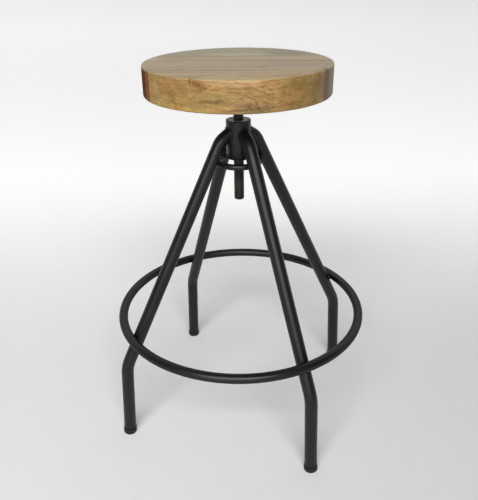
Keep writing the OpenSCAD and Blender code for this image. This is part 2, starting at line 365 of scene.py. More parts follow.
def moulded_plastic(name, light, dark, roughness, ior):
    """Moulded plastic with a fine spark-eroded grain."""
    material, tree, shader = new_material(name)
    at = placed(tree)
    grain = noise(tree, at, 2600, 2.0)
    scuffs = noise(tree, at, 120, 4.0, 0.7)
    feed(tree, shader, {
        "Base Color": blended(tree, spread(tree, scuffs, 0.4, 0.75), dark, light),
        "Roughness": spread(tree, scuffs, 0.3, 0.7, roughness - 0.06, roughness + 0.08),
        "Normal": bumped(tree, grain, 0.04 * MM, 0.5),
        "IOR": ior,
    })
    return material


def rim_point(aside, depth):
    """A place on the rim, by the boards' own directions: mm round from the front, mm below the top."""
    turn = aside * MM / SEAT_R - RIM_FRONT_TURN
    return (SEAT_R * math.sin(turn), -SEAT_R * math.cos(turn), SEAT_HIGH - depth * MM)


def top_point(along, across):
    """A place on the seat's top, in mm along and across the boards."""
    return (along * MM, across * MM, SEAT_HIGH)


def near(tree, at, place, scale, inner, outer, strength):
    """A soft-edged lump round a place: its strength inside, falling to 0 outside."""
    off = vector_maths(tree, "SUBTRACT", at, place)
    reach = vector_maths(tree, "LENGTH", stretched(tree, off, scale))
    return times(tree, spread(tree, reach, inner, outer, 1.0, 0.0), strength)


def drawn_out(tree, own, waves, detail, roughness=0.5):
    """Noise drawn out along a board, by its waves in a metre along, across and up."""
    return noise(tree, stretched(tree, own, waves), 1.0, detail, roughness)


def late_wood(tree, own, parts, heart, ring):
    """How dark a place in the growth rings is: each ring darkens outwards, and some are fainter."""
    across = minus(tree, parts["Y"], heart[0])
    up = minus(tree, parts["Z"], heart[1])
    reach = maths(tree, "SQRT", plus(tree, times(tree, across, across), times(tree, up, up)))
    drift = drawn_out(tree, own, (2.6, 8, 8), 3.0, 0.55)
    wobble = drawn_out(tree, own, (16, 75, 75), 3.0, 0.6)
    for bend, size in ((drift, 42 * MM), (wobble, 7 * MM)):
        reach = plus(tree, reach, times(tree, minus(tree, bend, 0.5), size))
    turns = maths(tree, "DIVIDE", reach, ring)
    phase = maths(tree, "FRACT", turns)
    late = times(tree, spread(tree, phase, 0.2, 0.85), spread(tree, phase, 0.88, 1.0, 1.0, 0.0))
    count = add(tree, "ShaderNodeCombineXYZ", {"X": maths(tree, "FLOOR", turns)}).outputs[0]
    return times(tree, late, spread(tree, noise(tree, count, 3.7, 0.0), 0.35, 0.65, 0.15, 1.0))


def flecked(tree, own, at, colour, strength):
    """Short slanting flecks, light and dark, round one place on the front rim."""
    slant = add(tree, "ShaderNodeMapping", {"Vector": own, "Rotation": (0, FLECK_SLANT, 0)}).outputs[0]
    flecks = drawn_out(tree, slant, (60, 230, 320), 3.0, 0.7)
    share = near(tree, at, rim_point(24, 30), (18, 10, 26), 0.3, 1.1, strength)
    for low, high, tint in ((0.52, 0.68, (1.4, 1.42, 1.6)), (0.46, 0.32, (0.46, 0.44, 0.42))):
        colour = tinted(tree, times(tree, spread(tree, flecks, low, high), share), colour, tint)
    return colour


def jointed(tree, parts, colour, joints):
    """Glued joints drawn as dark lines: the glue line with painted shade in its groove, darker where the
    joint is open.
    """
    for joint, start, end, strength in joints:
        opens = spread(tree, parts["X"], (start - 25) * MM, start * MM)
        closes = spread(tree, parts["X"], end * MM, (end + 40) * MM, 1.0, 0.0)
        depth = spread(tree, times(tree, opens, closes), 0.0, 1.0, 0.25 * strength, strength)
        off = maths(tree, "ABSOLUTE", minus(tree, parts["Y"], joint))
        share = times(tree, spread(tree, off, 0.6 * MM, 2.4 * MM, 1.0, 0.0), depth)
        colour = tinted(tree, share, colour, (0.28, 0.22, 0.17))
    return colour


def board_wood(
    name, rim_patches, top_patches, heart, ring, seed, side_tones, painted_sheen_top_tones, end_grain_and_sheen_tints, joints,
    speckle=0.0,
):
    """Oiled hardwood in the solid: growth rings, streaks, fibres, pores, lumps of colour and painted
    sheen.

    The grain runs along the board. heart is the rings' centre (across, up), ring their spacing and
    seed the board's own place in the noise. Tones are (light, dark); the top's tones are the wood's
    colour with painted sheen, paler and greyer. The end tints are for the left and the right end: end
    grain, and at the right end partly painted reflection, a grey sheen.
    """
    material, tree, shader = new_material(name)
    at = placed(tree, turn=-SEAT_TURN)
    own = vector_maths(tree, "ADD", at, (seed * 1.7, seed * 0.9, seed * 1.3))
    parts = add(tree, "ShaderNodeSeparateXYZ", {"Vector": at}).outputs

    # Streaks, mottling, fibres and pores
    streak = drawn_out(tree, own, (3.5, 95, 95), 4.0, 0.62)
    mottle = drawn_out(tree, own, (55, 130, 130), 3.0, 0.6)
    fibre = drawn_out(tree, own, (26, 800, 800), 3.0, 0.65)
    dash = drawn_out(tree, own, (75, 420, 420), 2.0, 0.6)
    thread = drawn_out(tree, own, (110, 2700, 2700), 2.0, 0.6)
    pores = spread(tree, drawn_out(tree, own, (60, 1700, 1700), 1.0), 0.64, 0.73)
    tone = times(tree, late_wood(tree, own, parts, heart, ring), 0.26)
    for part, share in ((streak, 1.45), (mottle, 0.4), (fibre, 1.0), (dash, 0.65), (thread, 0.8)):
        tone = plus(tree, tone, times(tree, minus(tree, part, 0.5), share))
    tone = spread(tree, tone, -0.30, 0.47, smooth=False)

    # The sawn rim keeps the wood's gold; the top's colour adds painted sheen, paler and greyer
    side = blended(tree, tone, *side_tones)
    hue = drawn_out(tree, own, (7, 26, 26), 2.0)
    pinker = tinted(tree, 1.0, side, (1.07, 0.93, 0.90))
    greener = tinted(tree, 1.0, side, (0.985, 1.015, 0.90))
    side = blended(tree, spread(tree, hue, 0.40, 0.58), greener, pinker)
    top_with_painted_sheen = blended(tree, tone, *painted_sheen_top_tones)
    top_with_painted_sheen = tinted(tree, spread(tree, hue, 0.4, 0.6), top_with_painted_sheen, (0.96, 1.0, 0.93))
    on_top = spread(tree, parts["Z"], SEAT_HIGH - TOP_EASE, SEAT_HIGH - 0.3 * MM)
    colour = blended(tree, on_top, side, top_with_painted_sheen)

    # End grain, which shows near the ends of the boards; at the right ends the tint is partly painted
    # reflection, a grey sheen
    level = vector_maths(tree, "LENGTH", stretched(tree, at, (1, 1, 0)))
    beyond_top = spread(tree, level, SEAT_R - TOP_EASE, SEAT_R - 1 * MM)
    on_rim = times(tree, beyond_top, minus(tree, 1.0, on_top))
    end_on = maths(tree, "DIVIDE", parts["X"], level)
    for tint, low, high in ((end_grain_and_sheen_tints[0], -0.80, -0.93), (end_grain_and_sheen_tints[1], 0.80, 0.93)):
        colour = tinted(tree, times(tree, spread(tree, end_on, low, high), on_rim), colour, tint)
    if speckle:
        colour = flecked(tree, own, at, colour, speckle)

    # Lumps of colour, with edges that follow the grain's unevenness; some are painted highlight and
    # sheen
    bent = add(
        tree, "ShaderNodeTexNoise",
        {"Vector": stretched(tree, own, (40, 110, 110)), "Scale": 1.0, "Detail": 2.0},
    )
    bend = vector_maths(tree, "SUBTRACT", bent.outputs["Color"], (0.5, 0.5, 0.5))
    bend = vector_maths(tree, "MULTIPLY", bend, (26 * MM, 12 * MM, 12 * MM))
    lumpy = vector_maths(tree, "ADD", at, bend)
    lumps = [(rim_point(*place), *rest) for place, *rest in rim_patches]
    lumps += [(top_point(*place), *rest) for place, *rest in top_patches]
    for place, half, tint, strength in lumps:
        scale = [1 / (size * MM) for size in half]
        colour = tinted(tree, near(tree, lumpy, place, scale, 0.45, 1.25, strength), colour, tint)

    colour = jointed(tree, parts, colour, joints)
    colour = tinted(tree, times(tree, pores, 0.5), colour, (0.45, 0.36, 0.28))

    # The left ends are dry, so they have no sheen
    dry = times(tree, spread(tree, end_on, -0.72, -0.88), on_rim)
    height = plus(tree, times(tree, fibre, 0.4), times(tree, thread, 0.35))
    height = minus(tree, height, times(tree, pores, 0.5))
    feed(tree, shader, {
        "Base Color": colour,
        "Roughness": plus(tree, spread(tree, fibre, 0.3, 0.7, 0.44, 0.55), times(tree, pores, 0.2)),
        "Specular IOR Level": spread(tree, dry, 0.0, 1.0, 0.38, 0.0),
        "Normal": bumped(tree, height, 0.12 * MM, 0.55),
    })
    return material


# Meshes


def linked(name, data):
    """A new object in the scene."""
    made = bpy.data.objects.new(name, data)
    bpy.context.scene.collection.objects.link(made)
    return made


def new_piece(name, mesh, body, slot, *nodes):
    """Makes a finished mesh a piece on a body, standing for CAD nodes."""
    piece = linked(name, mesh)
    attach(piece, body)
    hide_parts(*nodes)


def as_mesh(name, bm):
    """A bmesh as a mesh; the bmesh is used up."""
    mesh = bpy.data.meshes.new(name)
    bm.to_mesh(mesh)
    bm.free()
    return mesh


def finished(bm, name, material, smooth_below):
    """A bmesh as a mesh with its normals outwards, smooth but for its sharp edges."""
    bmesh.ops.remove_doubles(bm, verts=bm.verts, dist=1e-6)
    bmesh.ops.dissolve_degenerate(bm, edges=bm.edges, dist=1e-7)
    bmesh.ops.recalc_face_normals(bm, faces=bm.faces)
    for face in bm.faces:
        face.smooth = True
    for edge in bm.edges:
        if edge.is_manifold and edge.calc_face_angle(0) > math.radians(smooth_below):
            edge.smooth = False
    mesh = as_mesh(name, bm)
    mesh.materials.append(material)
    return mesh


def stand_in(name, bm, material, smooth_below, body, slot):
    """Makes a bmesh the piece that stands for the CAD node of its own name."""
    new_piece(name, finished(bm, name, material, smooth_below), body, slot, name)


def opened(mesh):
    """A bmesh of a mesh, which is used up."""
    bm = bmesh.new()
    bm.from_mesh(mesh)
    bpy.data.meshes.remove(mesh)
    return bm


def evaluated(source):
    """The plain mesh that an object's modifiers or bevel make; the object is used up."""
    bpy.context.view_layer.update()
    made = bpy.data.meshes.new_from_object(source.evaluated_get(bpy.context.evaluated_depsgraph_get()))
    bpy.data.objects.remove(source)
    return made


def circle_points(radius, height, steps):
    """Points round the axis."""
    turns = [TAU * i / steps for i in range(steps)]
    return [(radius * math.cos(turn), radius * math.sin(turn), height) for turn in turns]


def lathe(profile, steps, closed=False):
    """A bmesh turned about Z from (radius, height) points; closed joins the last to the first."""
    bm = bmesh.new()
    rings = []
    for radius, height in profile:
        count = steps if radius > 1e-7 else 1
        rings.append([bm.verts.new(point) for point in circle_points(radius, height, steps)[:count]])
    pairs = list(zip(rings, rings[1:] + rings[:1])) if closed else list(zip(rings, rings[1:]))
    for low, high in pairs:
        for i in range(steps):
            j = i + 1
            corners = [low[i % len(low)], low[j % len(low)], high[j % len(high)], high[i % len(high)]]
            kept = list(dict.fromkeys(corners))
            if len(kept) > 2:
                bm.faces.new(kept)
    return bm


def bridged(bm, low, high):
    """Faces between two rings of points."""
    for i in range(len(low)):
        j = (i + 1) % len(low)
        bm.faces.new((low[i], low[j], high[j], high[i]))


def arc(centre, radius, start, end, steps):
    """Points on an arc in a profile, with angles in degrees."""
    turns = [math.radians(start + (end - start) * i / steps) for i in range(steps + 1)]
    return [(centre[0] + radius * math.cos(turn), centre[1] + radius * math.sin(turn)) for turn in turns]


def new_group(name, kinds):
    """Geometry nodes with named inputs, the source and the material among them, and one output."""
    tree = bpy.data.node_groups.new(name, "GeometryNodeTree")
    for socket, kind in {"Source": "Geometry", **kinds, "Material": "Material"}.items():
        tree.interface.new_socket(socket, in_out="INPUT", socket_type="NodeSocket" + kind)
    tree.interface.new_socket("Result", in_out="OUTPUT", socket_type="NodeSocketGeometry")
    return tree, add(tree, "NodeGroupInput").outputs


def give_out(tree, geometry, material):
    """Paints the geometry and makes it the group's result."""
    painted = add(tree, "GeometryNodeSetMaterial", {"Geometry": geometry, "Material": material})
    add(tree, "NodeGroupOutput", {"Result": painted.outputs[0]})


def swept_bar_tree():
    """Geometry nodes that sweep a round section along points, thicker or thinner by their bead."""
    tree, given = new_group("swept_bar", {"Radius": "Float", "Sides": "Int"})
    line = add(tree, "GeometryNodeMeshToCurve", {"Mesh": given["Source"]}).outputs["Curve"]
    round_section = {"Resolution": given["Sides"], "Radius": given["Radius"]}
    section = add(tree, "GeometryNodeCurvePrimitiveCircle", round_section)
    bead = add(tree, "GeometryNodeInputNamedAttribute", {"Name": "bead"}, data_type="FLOAT")
    bar = add(
        tree, "GeometryNodeCurveToMesh",
        {
            "Curve": line, "Profile Curve": section.outputs["Curve"],
            "Scale": bead.outputs["Attribute"], "Fill Caps": True,
        },
    )
    smooth = add(tree, "GeometryNodeSetShadeSmooth", {"Geometry": bar.outputs["Mesh"]})
    give_out(tree, smooth.outputs[0], given["Material"])
    return tree


def made_by_nodes(source_mesh, tree, values):
    """A bmesh of what geometry nodes make of a mesh, which is used up."""
    source = linked("source", source_mesh)
    modifier = source.modifiers.new("nodes", "NODES")
    modifier.node_group = tree
    for socket in tree.interface.items_tree:
        if socket.name in values and socket.in_out == "INPUT":
            modifier[socket.identifier] = values[socket.name]
    made = evaluated(source)
    bpy.data.meshes.remove(source_mesh)
    return opened(made)


def swept(points, radius, sides, material, closed=False, beads=None):
    """A round bar along points, as a bmesh."""
    count = len(points)
    line = bpy.data.meshes.new("line")
    links = [(i, i + 1) for i in range(count - 1)] + ([(count - 1, 0)] if closed else [])
    line.from_pydata(points, links, [])
    attribute = line.attributes.new("bead", "FLOAT", "POINT")
    attribute.data.foreach_set("value", np.ones(count) if beads is None else np.asarray(beads, float))
    values = {"Radius": radius, "Sides": sides, "Material": material}
    return made_by_nodes(line, swept_bar, values)


def joined(parts):
    """One bmesh of several, which are used up."""
    whole = parts[0]
    for part in parts[1:]:
        spare = as_mesh("spare", part)
        whole.from_mesh(spare)
        bpy.data.meshes.remove(spare)
    return whole


def eased_points(ease):
    """A rounded edge as (inset from the wall, depth from the face), with one point at the groove."""
    turns = sorted([*np.linspace(0, math.pi / 2, 7), math.acos(1 - JOINT_GROOVE / ease)])
    return [(ease - ease * math.sin(turn), ease - ease * math.cos(turn)) for turn in turns]


def straight_back(outline, across):
    """Points along a glued edge, from an outline's last point to the one opposite."""
    end = outline[-1][0]
    return [(x, across) for x in np.linspace(end, -end, GLUED_STEPS)[1:-1]]


def seat_board(name, low_joint, high_joint, material):
    """One board of the round seat, with the rim eased and the glued edges just broken."""
    height = SEAT_HIGH - SEAT_LOW
    bottom = [(inset, depth, depth) for inset, depth in eased_points(BOTTOM_EASE)]
    top = [(inset, height - depth, depth) for inset, depth in reversed(eased_points(TOP_EASE))]
    walls = [(0, z, JOINT_GROOVE) for z in np.linspace(BOTTOM_EASE, height - TOP_EASE, 9)[1:-1]]
    bm = bmesh.new()
    rings = []
    for inset, z, depth in bottom + walls + top:
        broken = max(JOINT_GROOVE - depth, 0)
        radius = SEAT_R - inset
        low = -radius if low_joint is None else low_joint + broken
        high = radius if high_joint is None else high_joint - broken
        turns = np.linspace(math.asin(low / radius), math.asin(high / radius), RIM_STEPS)
        outline = [(radius * math.cos(turn), radius * math.sin(turn)) for turn in turns]
        if high_joint is not None:
            outline += straight_back(outline, high)
        outline += [(-radius * math.cos(turn), radius * math.sin(turn)) for turn in turns[::-1]]
        if low_joint is not None:
            outline += straight_back(outline, low)
        rings.append([bm.verts.new((x, y, z)) for x, y in outline])
    for low_ring, high_ring in zip(rings, rings[1:]):
        bridged(bm, low_ring, high_ring)
    bm.faces.new(rings[0][::-1])
    bm.faces.new(rings[-1])
    bm.transform(Matrix.Translation((0, 0, SEAT_LOW)) @ Matrix.Rotation(SEAT_TURN, 4, "Z"))
    mesh = finished(bm, name, material, BOARD_SHARP)
    new_piece(name, mesh, "seat", "seat_wood", name.replace("look", "seat_board"))


# Legs and welds


def heading(lean):
    """The way a leaning run climbs, towards the axis, in a leg's plane of distance and height."""
    return Vector((-math.sin(lean), math.cos(lean)))


def outward(lean):
    """Square to a leaning run, away from the axis."""
    return Vector((math.cos(lean), math.sin(lean)))


def bend_points(corner, lean_in, lean_out, radius):
    """Points on a bend between two runs, in a leg's plane."""
    start = corner - radius * math.tan((lean_out - lean_in) / 2) * heading(lean_in)
    centre = start - radius * outward(lean_in)
    leans = [lean_in + (lean_out - lean_in) * i / BEND_STEPS for i in range(BEND_STEPS + 1)]
    return [centre + radius * outward(lean) for lean in leans]


def leg_route():
    """A leg's centre line from the cap's sole to the hub, in its plane."""
    return (
        [FOOT + CAP_SOLE * heading(FOOT_LEAN)]
        + bend_points(KNEE, FOOT_LEAN, LEG_LEAN, KNEE_BEND_R)
        + bend_points(SHOULDER, LEG_LEAN, SHOULDER_LEAN, SHOULDER_BEND_R)
        + [LEG_JOINT]
    )


def in_space(point, turn, aside=0.0):
    """A point of a leg's plane, or beside the plane, in space."""
    return (
        point.x * math.cos(turn) - aside * math.sin(turn),
        point.x * math.sin(turn) + aside * math.cos(turn),
        point.y,
    )


def leg(name, turn):
    """A leg, coped into the sleeve's wall."""
    bm = swept([in_space(p, turn) for p in leg_route()], LEG_R, LEG_SIDES, coat)
    tip, along = Vector(in_space(LEG_JOINT, turn)), heading(SHOULDER_LEAN)
    way = Vector((along.x * math.cos(turn), along.x * math.sin(turn), along.y))
    reach = HUB_R - COPE_DEPTH
    # Each point of the end slides along the leg until it is this far from the axis
    for vertex in bm.verts:
        if abs((vertex.co - tip).dot(way)) < 0.01 * MM:
            a = way.xy.length_squared
            b = 2 * vertex.co.xy.dot(way.xy)
            c = vertex.co.xy.length_squared - reach ** 2
            vertex.co += way * (-b - math.sqrt(b * b - 4 * a * c)) / (2 * a)
    stand_in(name, bm, coat, TURNED_SHARP, "frame", "black_coat")


def paint(node_object, material):
    """Puts a material in every slot of a CAD node."""
    slots = node_object.data.materials
    if not slots:
        slots.append(material)
    for i in range(len(slots)):
        slots[i] = material


def rippled(count, ripple_points, rng):
    """Bead thickness along a weld: each ripple swells and drops off, unevenly."""
    beads = []
    while len(beads) < count:
        length = max(3, int(round(ripple_points * rng.uniform(0.8, 1.25))))
        size = rng.uniform(0.93, 1.07)
        beads += [size * (0.93 + 0.13 * k / length) for k in range(length)]
    return beads[:count]


def bead_along(points, bead, rng):
    """A closed weld bead along points, rippled."""
    radius, count, ripple_points = bead
    beads = rippled(count, ripple_points, rng)
    return swept(points, radius, BEAD_SIDES, coat, closed=True, beads=beads)


def hub_weld(turn, rng):
    """Bead where a leg's end stands on the sleeve."""
    around, reach = LEG_R + HUB_BEAD_OUT, HUB_R + HUB_BEAD_OUT
    along, away = heading(SHOULDER_LEAN), outward(SHOULDER_LEAN)
    points = []
    for phi in np.linspace(0, TAU, HUB_BEAD[1], endpoint=False):
        aside = around * math.sin(phi)
        off = LEG_JOINT + around * math.cos(phi) * away
        share = (math.sqrt(reach ** 2 - aside ** 2) - off.x) / along.x
        points.append(in_space(off + share * along, turn, aside))
    return bead_along(points, HUB_BEAD, rng)


def crossing_weld(turn, ring_at, bar_r, side, bead, rng):
    """Bead round the place where a ring touches a leg, on the leg's outer (1) or inner (-1) side.

    It follows the line where two bars, fatter than the leg and the ring by half the bead, cut each
    other. Each of its points is found by halving its distance from the middle of the contact.
    """
    bead_r, count, _ = bead
    leg_around, bar_around = LEG_R + 0.5 * bead_r, bar_r + 0.5 * bead_r
    gap = LEG_R + bar_r + WELD_GAP
    middle = ring_at - side * gap * outward(LEG_LEAN)
    points = []
    for phi in np.linspace(0, TAU, count, endpoint=False):
        low, high = 0.0, min(leg_around, bar_around) * 0.999
        for _ in range(HALVINGS):
            off = (low + high) / 2
            across, up = off * math.cos(phi), off * math.sin(phi)
            out = math.sqrt(leg_around ** 2 - across ** 2)
            reach = out + math.sqrt(bar_around ** 2 - up ** 2)
            low, high = (off, high) if reach > gap else (low, off)
        place = middle + up * heading(LEG_LEAN) + side * out * outward(LEG_LEAN)
        points.append(in_space(place, turn, across))
    return bead_along(points, bead, rng)


def weld(name, beads, body="frame"):
    """Weld beads as one piece."""
    stand_in(name, beads, coat, BAR_SHARP, body, "black_coat")


# Spindle


def thread_rows():
    """One turn of the metric thread: (height in the pitch, radius), crest first."""
    flank = THREAD_DEPTH * math.tan(math.radians(30))
    crest = THREAD_PITCH / 2 - flank
    root = SPINDLE_R - THREAD_DEPTH
    half_way = SPINDLE_R - THREAD_DEPTH / 2
    return [
        (0, SPINDLE_R), (crest, SPINDLE_R), (crest + flank / 2, half_way),
        (crest + flank, root), (2 * crest + flank, root), (2 * crest + 1.5 * flank, half_way),
    ]


def threaded_spindle(low, thread_top, high):
    """A right-hand screw spindle with a rounded lower end, plain above its thread.

    Its points climb one pitch in each turn, and the last column of one turn meets the first of the
    next, so the thread is one unbroken helix.
    """
    steps = THREAD_SIDES
    rows = thread_rows()
    turns = int((thread_top - low) / THREAD_PITCH) + 3
    levels = [(low + (k - 1) * THREAD_PITCH + z, r) for k in range(turns) for z, r in rows]
    bm = bmesh.new()
    grid = []
    for z, r in levels:
        ring = []
        for i in range(steps):
            turn = TAU * i / steps
            at = min(max(z + THREAD_PITCH * i / steps, low), thread_top)
            end = min(at - low, END_ROUND)
            reach = SPINDLE_R - END_ROUND + math.sqrt(END_ROUND ** 2 - (END_ROUND - end) ** 2)
            run_out = SPINDLE_R - THREAD_DEPTH * min((thread_top - at) / (2 * THREAD_PITCH), 1)
            reach = min(max(r, run_out), reach)
            ring.append(bm.verts.new((reach * math.cos(turn), reach * math.sin(turn), at)))
        grid.append(ring)
    for k in range(len(grid) - 1):
        for i in range(steps - 1):
            bm.faces.new((grid[k][i], grid[k][i + 1], grid[k + 1][i + 1], grid[k + 1][i]))
        a_turn_up = k + len(rows)
        if a_turn_up + 1 < len(grid):
            bm.faces.new((grid[k][-1], grid[a_turn_up][0], grid[a_turn_up + 1][0], grid[k + 1][-1]))
    ends = [bm.verts.new(point) for point in circle_points(SPINDLE_R, high, steps)]
    bridged(bm, grid[-1], ends)
    bm.faces.new(ends)
    bm.faces.new(grid[0][::-1])
    return bm


# Hub, plate and feet


def plug_profile(low, high, mouth_up):
    """Section of a bored plug for the sleeve, countersunk at its outer mouth."""
    outer, length = SLEEVE_BORE_R - PLUG_GAP, high - low
    profile = [
        (BORE_R, 0), (outer - PLUG_EASE, 0), (outer, PLUG_EASE),
        (outer, length - PLUG_EASE), (outer - PLUG_EASE, length),
        (BORE_R + PLUG_SUNK, length), (BORE_R, length - PLUG_SUNK),
    ]
    if mouth_up:
        return [(r, low + z) for r, z in profile]
    return [(r, high - z) for r, z in reversed(profile)]


def rounded_ring(inner, outer, low, high, ease):
    """Section of a ring with its four edges rounded."""
    corners = (
        (inner + ease, low + ease, 180), (outer - ease, low + ease, 270),
        (outer - ease, high - ease, 0), (inner + ease, high - ease, 90),
    )
    section = []
    for r, z, start in corners:
        section += arc((r, z), ease, start, start + 90, 4)
    return section


def turned_piece(name, profile, material, body, slot):
    """A ring-shaped piece from its section."""
    bm = lathe(profile, TURNED_SIDES, closed=True)
    stand_in(name, bm, material, TURNED_SHARP, body, slot)


def foot_cap(name, turn):
    """A slip-over cap on a leg's end, flat where it stands and rounded at its lip."""
    dip = CAP_R * math.sin(FOOT_LEAN)
    lip = CAP_WALL / 2
    profile = (
        [(0, -dip)] + arc((CAP_R - CAP_ROUND, CAP_ROUND - dip), CAP_ROUND, 270, 360, 8)
        + arc((CAP_R - lip, CAP_HEIGHT - lip), lip, 0, 180, 8)
        + [(CAP_R - CAP_WALL, CAP_SOLE), (0, CAP_SOLE)]
    )
    bm = lathe(profile, CAP_SIDES)
    leaning = Matrix.Translation((FOOT.x, 0, 0)) @ Matrix.Rotation(-FOOT_LEAN, 4, "Y")
    bm.transform(Matrix.Rotation(turn, 4, "Z") @ leaning)
    for vertex in bm.verts:
        vertex.co.z = max(vertex.co.z, 0)
    stand_in(name, bm, cap_plastic, CAP_SHARP, "frame", "foot_plastic")


def mounting_plate():
    """Laser-cut plate with broken edges, from its flat outline."""
    outline = bpy.data.curves.new("plate", "CURVE")
    outline.dimensions = "2D"
    outline.fill_mode = "BOTH"
    outline.bevel_depth = PLATE_EASE
    outline.bevel_resolution = 2
    outline.offset = -PLATE_EASE
    outline.extrude = (PLATE_HIGH - PLATE_LOW) / 2 - PLATE_EASE
    corner = PLATE_HALF - PLATE_CORNER_R
    around = []
    for x, y, start in ((1, 1, 0), (-1, 1, 90), (-1, -1, 180), (1, -1, 270)):
        around += arc((x * corner, y * corner), PLATE_CORNER_R, start, start + 90, 12)
    hole_r = SCREW_R + SCREW_HOLE_GAP
    holes = [arc(place, hole_r, 0, 360, 32)[:-1] for place in SCREW_PLACES]
    for loop in [around] + holes:
        spline = outline.splines.new("POLY")
        spline.points.add(len(loop) - 1)
        for point, (x, y) in zip(spline.points, loop):
            point.co = (x, y, 0, 1)
        spline.use_cyclic_u = True
    bm = opened(evaluated(linked("plate", outline)))
    bpy.data.curves.remove(outline)
    middle = Matrix.Translation((0, 0, (PLATE_LOW + PLATE_HIGH) / 2))
    bm.transform(middle @ Matrix.Rotation(SEAT_TURN, 4, "Z"))
    stand_in("mounting_plate", bm, coat, PLATE_SHARP, "seat", "black_coat")


def screw_tree():
    """Geometry nodes that set a screw on each point, with its head turned at random."""
    tree, given = new_group("set_screws", {"Screw": "Object", "Seed": "Int"})
    screw = add(tree, "GeometryNodeObjectInfo", {"Object": given["Screw"]})
    chance = add(tree, "FunctionNodeRandomValue", {"Seed": given["Seed"]}, data_type="FLOAT")
    chance.inputs[3].default_value = TAU
    turn = add(tree, "ShaderNodeCombineXYZ", {"Z": chance.outputs[1]}).outputs[0]
    on_points = add(
        tree, "GeometryNodeInstanceOnPoints",
        {"Points": given["Source"], "Instance": screw.outputs["Geometry"], "Rotation": turn},
    )
    real = add(tree, "GeometryNodeRealizeInstances", {"Geometry": on_points.outputs[0]})
    give_out(tree, real.outputs[0], given["Material"])
    return tree


def wood_screw():
    """One pan head screw, point up, with a cross recess cut in its head."""
    crown = [
        (SCREW_HEAD_R * math.sin(a), -SCREW_HEAD_H * (0.35 + 0.65 * math.cos(a)))
        for a in np.linspace(0.2, math.pi / 2, 8)
    ]
    profile = [
        (0, -SCREW_HEAD_H), *crown,
        (SCREW_HEAD_R, -SCREW_HEAD_EDGE), (SCREW_HEAD_R - SCREW_HEAD_EDGE, 0),
        (SCREW_R, 0), (SCREW_R, SCREW_L - SCREW_TIP), (0, SCREW_L),
    ]
    body = linked("screw", finished(lathe(profile, SCREW_SIDES), "screw", zinc, SCREW_SHARP))
    cutter = bmesh.new()
    for turn in (0, math.pi / 2):
        at_crown = Matrix.Translation((0, 0, -SCREW_HEAD_H)) @ Matrix.Rotation(turn, 4, "Z")
        bmesh.ops.create_cube(cutter, size=1.0, matrix=at_crown @ Matrix.Diagonal((*RECESS, 1)))
    recess = linked("recess", as_mesh("recess", cutter))
    cut = body.modifiers.new("recess", "BOOLEAN")
    cut.operation, cut.solver, cut.use_self, cut.object = "DIFFERENCE", "EXACT", True, recess
    made = evaluated(body)
    bpy.data.objects.remove(recess)
    return linked("screw", made)


def plate_screws():
    """The four screws through the plate's corners."""
    turned = Matrix.Rotation(SEAT_TURN, 3, "Z")
    points = bpy.data.meshes.new("points")
    points.from_pydata([turned @ Vector((x, y, PLATE_LOW)) for x, y in SCREW_PLACES], [], [])
    screw = wood_screw()
    bm = made_by_nodes(points, screw_tree(), {"Screw": screw, "Seed": SCREW_SEED, "Material": zinc})
    bpy.data.objects.remove(screw)
    stand_in("plate_screws", bm, zinc, SCREW_SHARP, "seat", "zinc_plate")


# Stage


def seen_or_mirrored(tree):
    """1 for rays from the camera, and for those that it sees by reflection or through glass."""
    path = add(tree, "ShaderNodeLightPath").outputs
    both = maths(tree, "MAXIMUM", path["Is Glossy Ray"], path["Is Transmission Ray"])
    return maths(tree, "MAXIMUM", path["Is Camera Ray"], both)


def floor(name, albedos, near_left, middle, far, nearer):
    """A wide pale floor that glows towards white away from the camera, painted light as on a swept
    backdrop.

    albedos are its colour before and behind the stool, whiter behind it as painted light. The lift, a
    painted glow, is near_left at the camera's left, and more behind the stool (middle) and past it
    (far), each given for the right and for the left.
    Out of the photograph's shot, the camera sees the floor plain and as bright as nearer.
    """
    material, tree, shader = new_material(name)
    at = add(tree, "ShaderNodeSeparateXYZ", {"Vector": placed(tree, turn=-CAMERA_TURN)}).outputs
    away = at["Y"]
    seen = add(tree, "ShaderNodeLightPath").outputs["Is Camera Ray"]
    sideways = minus(tree, maths(tree, "ABSOLUTE", at["X"]), times(tree, away, SHOT_SPREAD))
    beside_shot = minus(tree, sideways, SHOT_HALF)
    out_of_shot = maths(tree, "MAXIMUM", minus(tree, SHOT_NEAR, away), beside_shot)
    faded = times(tree, spread(tree, out_of_shot, *FADE), seen)
    kept = minus(tree, 1.0, faded)
    # painted light: the albedo rises away from the camera, standing for how the lamps fall on the floor
    albedo = times(tree, spread(tree, away, *ALBEDO_RANGE, *albedos), kept)
    base = blended(tree, albedo, (0.0, 0.0, 0.0), (1.0, 1.0, 0.996))

    # painted light: the floor glows brighter at the camera's left and behind and past the stool
    reach = maths(tree, "MAXIMUM", plus(tree, away, FAN_BACK), FAN_LEAST)
    aside = maths(tree, "DIVIDE", at["X"], reach)
    left = spread(tree, aside, -0.3, 0.3, 1.0, 0.0, smooth=False)
    behind = times(tree, spread(tree, away, 0.0, LIFT_END), spread(tree, left, 0.0, 1.0, *middle))
    beyond = times(tree, spread(tree, away, LIFT_END, FAR_END), spread(tree, left, 0.0, 1.0, *far))
    lift = plus(tree, plus(tree, behind, times(tree, left, near_left)), beyond)
    lift = times(tree, lift, seen_or_mirrored(tree))
    lift = plus(tree, times(tree, lift, kept), times(tree, faded, nearer))
    feed(tree, shader, {
        "Base Color": base,
        "Roughness": 0.8,
        "Specular IOR Level": 0.2,
        "Emission Color": (1, 1, 0.997, 1),
        "Emission Strength": lift,
    })
    bm = bmesh.new()
    bmesh.ops.create_grid(bm, x_segments=1, y_segments=1, size=FLOOR_SIZE)
    mesh = as_mesh(name, bm)
    mesh.materials.append(material)
    plane = linked(name, mesh)


